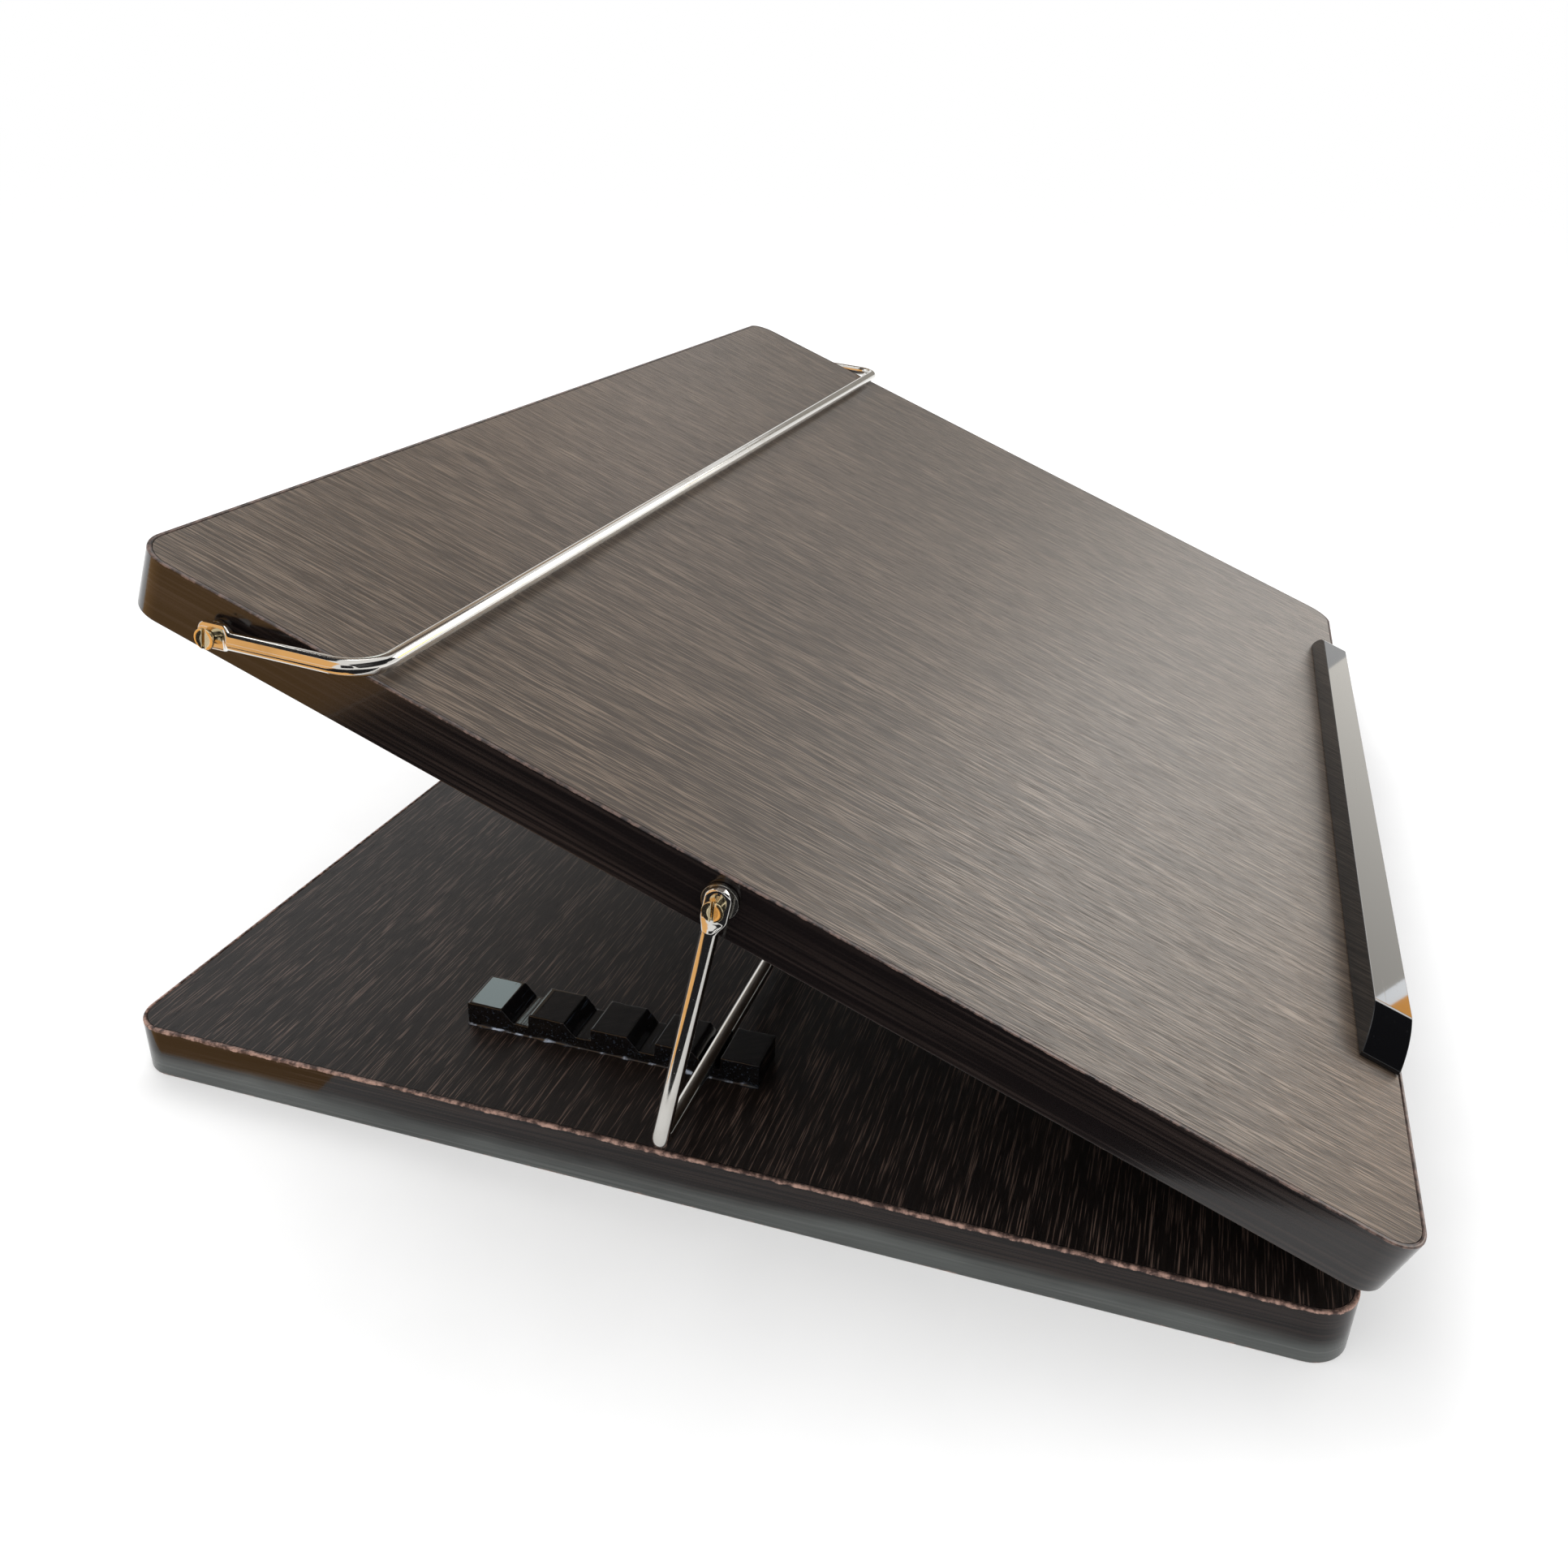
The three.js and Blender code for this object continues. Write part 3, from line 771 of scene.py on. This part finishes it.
def cut_rack(side):
    node = "rack_" + side
    low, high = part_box(node)
    length, width, height = high.y - low.y, high.x - low.x, high.z - low.z
    bm = rack_outline(length, height)
    fill_outline(bm, width)
    bevel(bm, sharp_edges(bm, 20), RACK_EDGE)
    slice_across(bm, 0, 0, length, SLICE)
    slice_across(bm, 1, 0, height, SLICE)
    slice_across(bm, 2, 0, 2 * SLICE, SLICE)
    slice_across(bm, 2, width - 2 * SLICE, width, SLICE)
    chip_sides(bm, width)
    mark_sawn(bm, length, height)
    lengthwise = Matrix(((0, 0, 1), (1, 0, 0), (0, 1, 0))).to_4x4()
    place = Matrix.Translation(low) @ lengthwise
    both = [polished_acrylic, sawn_acrylic]
    finished(bm, f"cut_rack_{side}", node, both, place)


def glue_bead(side):
    """A lumpy bead of glue along the foot of the rack's outer side."""
    node = "rack_" + side
    low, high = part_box(node)
    outer = low.x if side == "left" else high.x
    bm = bmesh.new()
    bmesh.ops.create_circle(bm, segments=BEAD_SEGMENTS, radius=1)
    bmesh.ops.rotate(bm, verts=bm.verts, matrix=Matrix.Rotation(math.pi / 2, 3, "X"))
    step = (high.y - low.y) / BEAD_STEPS
    rings = [bm.edges[:]]
    for _ in range(BEAD_STEPS):
        rings.append(pull(bm, rings[-1], (0, step, 0)))
    for ring in rings:
        for vertex in {vertex for edge in ring for vertex in edge.verts}:
            swell = abs(noise.noise((0, vertex.co.y / LUMP_LENGTH, 3)))
            lump = LUMP_LEAST + LUMP_SPREAD * swell
            vertex.co.x *= BEAD * lump
            vertex.co.z = max(0, vertex.co.z) * BEAD * lump
    for ring in (rings[0], rings[-1]):
        bmesh.ops.contextual_create(bm, geom=ring)
    bmesh.ops.recalc_face_normals(bm, faces=bm.faces)
    place = Matrix.Translation((outer, low.y, THICKNESS))
    finished(bm, f"glue_bead_{side}", node, [glue], place, hides=False)


for side in ("left", "right"):
    cut_rack(side)
    glue_bead(side)

# %% [markdown]
# ## The bent wires
#
# The leg and the page holder are made alike. A straight wire is bent twice, its two ends are
# pressed flat and pierced, and a screw through each end lets it swing. One half is swept
# from the middle of the crossbar: an extrusion, a spin for the bend and another extrusion
# for the arm. The last rings are pressed into the eye's shape, and a mirror adds the other
# half. A Boolean drills the eyes, since no sweep leaves a hole across its own path.

# %% Sweep, press, drill and mirror a wire
WIRE = 2.5 * MM
EYE_THICKNESS = 2.6 * MM
EYE_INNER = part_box("leg_wire")[1].x - 2 * WIRE
EYE_WIDTH = math.pi * WIRE ** 2 / EYE_THICKNESS
EYE_HOLE = 1.8 * MM
SQUARENESS = 0.55
FINE_EDGE = 0.12 * MM
WIRE_SEGMENTS = 28
BEND_STEPS = 14
PRESS_START = 0.95
PRESS_LENGTH = 0.45
PRESS_STEPS = 5
ROUNDING_STEPS = 8
ROUNDING_SWEEP = math.radians(88)


def swing_frame(joint, bar):
    """Y runs from the pivot to the crossbar, and the reach is how far apart they are."""
    pivot = Vector(joints[joint]["pos_m"])
    run = bar - pivot
    run.x = 0
    turn = Matrix.Rotation(math.atan2(run.z, run.y), 4, "X")
    return Matrix.Translation(pivot) @ turn, run.length


def press(ring, pressed, width):
    """Flattens a ring across X, with its inner side held, to the given width across Z."""
    for vertex in {vertex for edge in ring for vertex in edge.verts}:
        across = (vertex.co.x - EYE_INNER - WIRE) / WIRE
        up = vertex.co.z / WIRE
        power = 1 - (1 - SQUARENESS) * pressed
        square_x = math.copysign(abs(across) ** power, across)
        square_z = math.copysign(abs(up) ** power, up)
        thick = WIRE + (EYE_THICKNESS / 2 - WIRE) * pressed
        vertex.co.x = EYE_INNER + thick * (1 + square_x)
        vertex.co.z = square_z * width / 2


def half_wire(reach, bend, past, corner):
    """Half the crossbar, the bend and one arm."""
    bm = bmesh.new()
    bmesh.ops.create_circle(bm, segments=WIRE_SEGMENTS, radius=WIRE)
    bmesh.ops.rotate(bm, verts=bm.verts, matrix=Matrix.Rotation(math.pi / 2, 3, "Y"))
    bmesh.ops.translate(bm, verts=bm.verts, vec=(0, reach, 0))
    bend_start = EYE_INNER + WIRE - bend
    ring = pull(bm, bm.edges[:], (bend_start, 0, 0))
    spun = bmesh.ops.spin(
        bm, geom=ring, cent=(bend_start, reach - bend, 0), axis=(0, 0, -1), dvec=(0, 0, 0),
        angle=math.pi / 2, space=flat_frame, steps=BEND_STEPS, use_merge=False,
        use_normal_flip=False, use_duplicate=False,
    )
    ring = [item for item in spun["geom_last"] if isinstance(item, bmesh.types.BMEdge)]
    return press_eye(bm, ring, reach - bend, past, corner)


def press_eye(bm, ring, arm_top, past, corner):
    """Runs the arm down and through its pressed end, whose far corners are rounded."""
    # A station is a height, how far the wire is pressed there, and its width. The pressing
    # starts and ends at heights that are shares of the eye's width.
    stations = [(EYE_WIDTH * PRESS_START, 0, 2 * WIRE)]
    for i in range(1, PRESS_STEPS + 1):
        share = i / PRESS_STEPS
        eased = share * share * (3 - 2 * share)
        wide = 2 * WIRE + (EYE_WIDTH - 2 * WIRE) * eased
        stations.append((EYE_WIDTH * (PRESS_START - PRESS_LENGTH * share), eased, wide))
    for i in range(ROUNDING_STEPS + 1):
        angle = i / ROUNDING_STEPS * ROUNDING_SWEEP
        wide = EYE_WIDTH - 2 * corner * (1 - math.cos(angle))
        stations.append((corner - past - corner * math.sin(angle), 1, wide))
    here = arm_top
    rings = []
    for height, pressed, wide in stations:
        ring = pull(bm, ring, (0, height - here, 0))
        rings.append((ring, pressed, wide))
        here = height
    for ring, pressed, wide in rings:
        press(ring, pressed, wide)
    bmesh.ops.contextual_create(bm, geom=rings[-1][0])
    return bm


def placed_temporarily(bm):
    """An object for the Boolean, which works on objects only."""
    mesh = bpy.data.meshes.new("temporary")
    bm.to_mesh(mesh)
    bm.free()
    thing = bpy.data.objects.new("temporary", mesh)
    bpy.context.scene.collection.objects.link(thing)
    return thing


def cut_away(bm, tool):
    """What is left of one closed shape when another is cut out of it."""
    whole = placed_temporarily(bm)
    cutter = placed_temporarily(tool)
    modifier = whole.modifiers.new("cut", "BOOLEAN")
    modifier.operation = "DIFFERENCE"
    modifier.solver = "EXACT"
    modifier.object = cutter
    shape = whole.evaluated_get(bpy.context.evaluated_depsgraph_get())
    left = bmesh.new()
    left.from_mesh(shape.to_mesh())
    for thing in (whole, cutter):
        mesh = thing.data
        bpy.data.objects.remove(thing)
        bpy.data.meshes.remove(mesh)
    return left


def drill_along_x(radius):
    drill = bmesh.new()
    bmesh.ops.create_cone(
        drill, cap_ends=True, segments=32, radius1=radius, radius2=radius, depth=4 * WIDTH,
    )
    bmesh.ops.rotate(drill, verts=drill.verts, matrix=Matrix.Rotation(math.pi / 2, 3, "Y"))
    return drill


def bent_wire(name, node, joint, bar, bend, past, corner):
    """A whole wire, whose eyes run past the pivot and have rounded corners."""
    place, reach = swing_frame(joint, bar)
    bm = half_wire(reach, bend, past, corner)
    bmesh.ops.mirror(bm, geom=bm.verts[:] + bm.edges[:] + bm.faces[:], axis="X", merge_dist=1e-6)
    bmesh.ops.remove_doubles(bm, verts=bm.verts, dist=1e-6)
    bmesh.ops.recalc_face_normals(bm, faces=bm.faces)
    bm = cut_away(bm, drill_along_x(EYE_HOLE))
    bevel(bm, sharp_edges(bm, 60), FINE_EDGE)
    print("reach, mm:", round(reach / MM, 1))
    finished(bm, name, node, [chrome], place)


leg_low, leg_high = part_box("leg_wire")
leg_bar = Vector((0, leg_high.y - WIRE, leg_low.z + WIRE))
bent_wire(
    "bent_leg", "leg_wire", "leg_swing", leg_bar,
    bend=5 * MM, past=5.2 * MM, corner=3.2 * MM,
)

holder_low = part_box("page_holder_wire")[0]
holder_bar = Vector((0, holder_low.y + WIRE, holder_low.z + WIRE))
bent_wire(
    "bent_page_holder", "page_holder_wire", "page_holder_swing", holder_bar,
    bend=11 * MM, past=3.6 * MM, corner=1.6 * MM,
)

# %% [markdown]
# ## Pivot screws and washers
#
# A slotted screw holds each eye. Its head is a cone with a thin rim, so it stands a little
# proud of the wire. A profile spun round gives the screw, and a box cuts the slot. A thin
# washer keeps the wire off the board's edge.

# %% Turn the screws and washers
HEAD = 3 * MM
HEAD_CONE = 1.8 * MM
HEAD_RIM = 0.7 * MM
SHANK = 1.5 * MM
SLOT = 0.9 * MM
SLOT_DEPTH = 0.9 * MM
TURNED_STEPS = 40


def turned(profile, closed=False):
    """Spins (radius, height) corners about Z into a closed shape."""
    bm = bmesh.new()
    radius, height = profile[0]
    first = bm.verts.new((radius, 0, height))
    corner = first
    for (radius, height), (next_radius, next_height) in zip(profile, profile[1:]):
        corner = extend(bm, corner, (next_radius - radius, 0, next_height - height))
    if closed:
        bm.edges.new((corner, first))
    bmesh.ops.spin(
        bm, geom=bm.verts[:] + bm.edges[:], cent=(0, 0, 0), axis=(0, 0, 1), dvec=(0, 0, 0),
        angle=2 * math.pi, space=flat_frame, steps=TURNED_STEPS, use_merge=True,
        use_normal_flip=False, use_duplicate=False,
    )
    bmesh.ops.remove_doubles(bm, verts=bm.verts, dist=1e-7)
    bmesh.ops.recalc_face_normals(bm, faces=bm.faces)
    return bm


def slot_cutter(top, turn):
    """A bar across the top of the head, turned as the slot is."""
    bm = bmesh.new()
    bmesh.ops.create_cube(bm, size=1)
    bmesh.ops.scale(bm, vec=(4 * HEAD, SLOT, 2 * SLOT_DEPTH), verts=bm.verts)
    bmesh.ops.translate(bm, vec=(0, 0, top), verts=bm.verts)
    bmesh.ops.rotate(bm, matrix=Matrix.Rotation(turn, 3, "Z"), verts=bm.verts)
    return bm


def facing(side, place, x):
    """A frame on the board's side whose Z points outwards."""
    outward = Matrix.Rotation(side * math.pi / 2, 4, "Y")
    return place @ Matrix.Translation((x, 0, 0)) @ outward


def pivot_pieces(name, joint, slot_turn):
    """The screw and washer at both ends of a pivot, with slots set to the board's tilt."""
    pivot = Matrix.Translation(Vector(joints[joint]["pos_m"])) @ Matrix.Rotation(TILT, 4, "X")
    top = HEAD_CONE + HEAD_RIM
    for label, side in (("left", -1), ("right", 1)):
        node = f"{name}_screw_{label}"
        low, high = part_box(node)
        shaft = high.x - low.x - top
        bm = turned([
            (0, -shaft),
            (SHANK, -shaft + 2 * SHANK),
            (SHANK, 0),
            (HEAD - FINE_EDGE, HEAD_CONE),
            (HEAD, HEAD_CONE + FINE_EDGE),
            (HEAD, top - FINE_EDGE),
            (HEAD - FINE_EDGE, top),
            (0, top),
        ])
        bm = cut_away(bm, slot_cutter(top, slot_turn))
        seat = facing(side, pivot, side * (EYE_INNER + EYE_THICKNESS))
        finished(bm, f"slotted_{node}", node, [warm_painted_screw_plating], seat)
        node = f"{name}_washer_{label}"
        low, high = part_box(node)
        outer = (high.z - low.z) / 2
        half = (high.x - low.x) / 2
        ring = [
            (EYE_HOLE, -half),
            (outer - FINE_EDGE, -half),
            (outer, FINE_EDGE - half),
            (outer, half - FINE_EDGE),
            (outer - FINE_EDGE, half),
            (EYE_HOLE, half),
        ]
        bm = turned(ring, closed=True)
        seat = facing(side, pivot, (low.x + high.x) / 2)
        finished(bm, f"flat_{node}", node, [washer_zinc], seat)


pivot_pieces("leg", "leg_swing", slot_turn=math.radians(17))
pivot_pieces("page_holder", "page_holder_swing", slot_turn=math.radians(11))

# %% [markdown]
# ## Hinges
#
# The hinges sit between the panels, and only their knuckles show. Their CAD solids already
# have every bore and countersink, so a merged copy of each gets small rounded edges.


# %% Round off copies of the hinge solids
def rounded_copy(node, width):
    bm = bmesh.new()
    bm.from_mesh(frame["nodes"][node].data)
    bmesh.ops.remove_doubles(bm, verts=bm.verts, dist=1e-5)
    bmesh.ops.dissolve_limit(bm, angle_limit=math.radians(1), verts=bm.verts, edges=bm.edges)
    bevel(bm, sharp_edges(bm, 40), width)
    finished(bm, f"rounded_{node}", node, [steel])


for node in sorted(frame["nodes"]):
    if node.startswith("hinge"):
        rounded_copy(node, FINE_EDGE if "leaf" in node else FINE_EDGE / 2)

# %% [markdown]
# ## The floor and the tent
#
# The stand is shown on a plain pale floor in a bright tent, as for a catalogue. The floor is
# wide enough to reach the horizon and glows faintly, so that it fades into the tent. It isn't
# part of the stand.

# %% The floor and the tent
FLOOR_RADIUS = 40
FLOOR_GLOW = 0.12


def floor_finish():
    """Pale and faintly glowing, so that far away it is as bright as the tent."""
    finish = Finish("pale_floor", Roughness=1.0, Specular_IOR_Level=0.0)
    speckle = finish.noise(finish.place(), scale=40)
    finish.wear("Base Color", finish.blend(speckle, rgb(0.86, 0.86, 0.86), rgb(0.90, 0.90, 0.90)))
    finish.shader.inputs["Emission Color"].default_value = rgb(1, 1, 1)
    finish.shader.inputs["Emission Strength"].default_value = FLOOR_GLOW
    return finish.material


def stage_sheet(bm, name, material):
    """An object that is part of the stage, not of the stand."""
    mesh = bpy.data.meshes.new(name)
    bm.to_mesh(mesh)
    bm.free()
    mesh.materials.append(material)
    sheet = bpy.data.objects.new(name, mesh)
    bpy.context.scene.collection.objects.link(sheet)
    return sheet


bm = bmesh.new()
bmesh.ops.create_circle(bm, cap_ends=True, segments=96, radius=FLOOR_RADIUS)
stage_sheet(bm, "floor", floor_finish())

bpy.context.scene.view_settings.view_transform = "Standard"
world = bpy.data.worlds.new("tent")
bpy.context.scene.world = world
world.use_nodes = True
world.node_tree.nodes["Background"].inputs["Color"].default_value = rgb(1, 1, 1)
world.node_tree.nodes["Background"].inputs["Strength"].default_value = 1.0

# %% [markdown]
# ## The lights and the cards
#
# Two large soft lights shade the stand. Gloss and plating show what stands round them, so
# they would go blank in an empty tent. Cards, which only reflections see, stand for the rest
# of the room: warm ones for a wooden floor and wall, black and dim ones for what is in shade,
# and bright ones for the windows that the laminate, the lip and one rack's tooth catch.


# %% Soft lights and cards
def aimed(thing, place, aim):
    """Turns a thing so that its -Z looks at the aim point."""
    thing.location = place
    thing.rotation_mode = "QUATERNION"
    thing.rotation_quaternion = (Vector(aim) - Vector(place)).to_track_quat("-Z", "Y")


def soft_light(name, place, aim, size, power):
    light = bpy.data.lights.new(name, "AREA")
    light.shape = "RECTANGLE"
    light.size, light.size_y = size
    light.energy = power
    lamp = bpy.data.objects.new(name, light)
    aimed(lamp, place, aim)
    bpy.context.scene.collection.objects.link(lamp)


def card(name, place, aim, size, colour):
    """A glowing or black sheet that only reflections see."""
    finish = Finish(name, Roughness=1.0, Specular_IOR_Level=0.0, Base_Color=rgb(0, 0, 0))
    finish.shader.inputs["Emission Color"].default_value = colour
    finish.shader.inputs["Emission Strength"].default_value = 1.0
    bm = bmesh.new()
    bmesh.ops.create_grid(bm, x_segments=1, y_segments=1, size=0.5)
    bmesh.ops.scale(bm, vec=(*size, 1), verts=bm.verts)
    sheet = stage_sheet(bm, name, finish.material)
    aimed(sheet, place, aim)
    sheet.visible_camera = False
    sheet.visible_diffuse = False
    sheet.visible_shadow = False
    sheet.visible_transmission = False


def floor_card(name, place, size, colour):
    """A card that lies just above the floor and faces up."""
    card(name, place, Vector(place) + Vector((0, 0, 1)), size, colour)


soft_light("key_window", (0.9, 0.9, 1.9), (0, 0, 0.1), (1.6, 1.2), 16)
soft_light("fill_window", (-1.4, -1.3, 1.5), (0, 0, 0.05), (1.4, 1.2), 9)

# %% Hang the cards
WARM = rgb(1.0, 0.55, 0.20)
BLACK = rgb(0.02, 0.02, 0.022)
STAND = Vector((0, 0, 0.1))
LIP_END = Vector((-0.18, -0.19, 0.06))
MIRRORED_REACH = 4

# The rear tooth's flat top mirrors whatever lies on the line from the eye, turned upwards.
rack_low, rack_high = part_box("rack_left")
rear_tooth = Vector(((rack_low.x + rack_high.x) / 2, rack_high.y - TOOTH_TOP / 2, rack_high.z))
mirrored = rear_tooth - EYE
mirrored.z = -mirrored.z
tooth_view = rear_tooth + mirrored * MIRRORED_REACH
card("tooth_window", tooth_view, rear_tooth, (0.08, 0.2), rgb(2.2, 2.6, 2.6))

# Warm wood behind the stand and dark floor on its left, with two warm spots at its edges.
floor_card("warm_floor", (-1.1, 1.15, 0.003), (1.5, 1.7), WARM)
floor_card("warm_patch", (-0.335, 0.135, 0.002), (0.11, 0.12), WARM)
floor_card("dark_floor", (-0.80, -0.17, 0.001), (0.96, 0.94), BLACK)
floor_card("warm_corner", (-0.32, 0.2, 0.0015), (0.10, 0.15), WARM)
card("warm_wall", (-1.35, 1.15, 0.95), STAND, (1.9, 1.9), WARM)

# The room's dark sides and its shaded corners.
card("rear_card", (-2.3, -0.55, 1.0), STAND, (1.1, 1.3), BLACK)
card("front_card", (-0.57, -1.14, 0.93), LIP_END, (2.1, 1.5), BLACK)
card("ceiling_card", (-0.1, 1.0, 1.75), STAND, (1.4, 0.9), BLACK)
card("shade", (1.0, 0.42, 1.55), STAND, (1.5, 0.8), rgb(0.14, 0.11, 0.09))
card("back_shade", (1.6, 0.85, 1.25), STAND, (0.9, 0.9), rgb(0.42, 0.33, 0.25))
card("side_shade", (1.75, 0.02, 0.55), STAND, (0.9, 0.5), rgb(0.35, 0.33, 0.30))
card("side_card", (0.43, -1.13, 0.90), LIP_END, (0.73, 0.75), BLACK)

# The windows, and the narrow lights at the lip's end.
card("low_window", (1.75, -1.08, 0.45), STAND, (0.75, 0.62), rgb(1.85, 1.78, 1.65))
card("high_window", (1.7, -1.0, 1.14), STAND, (1.2, 0.72), rgb(4.8, 4.7, 4.5))
card("window_strip", (1.47, -1.135, 0.56), LIP_END, (0.028, 0.5), rgb(4.0, 4.1, 4.2))
card("warm_strip", (1.41, -1.245, 0.5), LIP_END, (0.23, 0.3), rgb(3.4, 1.6, 0.4))
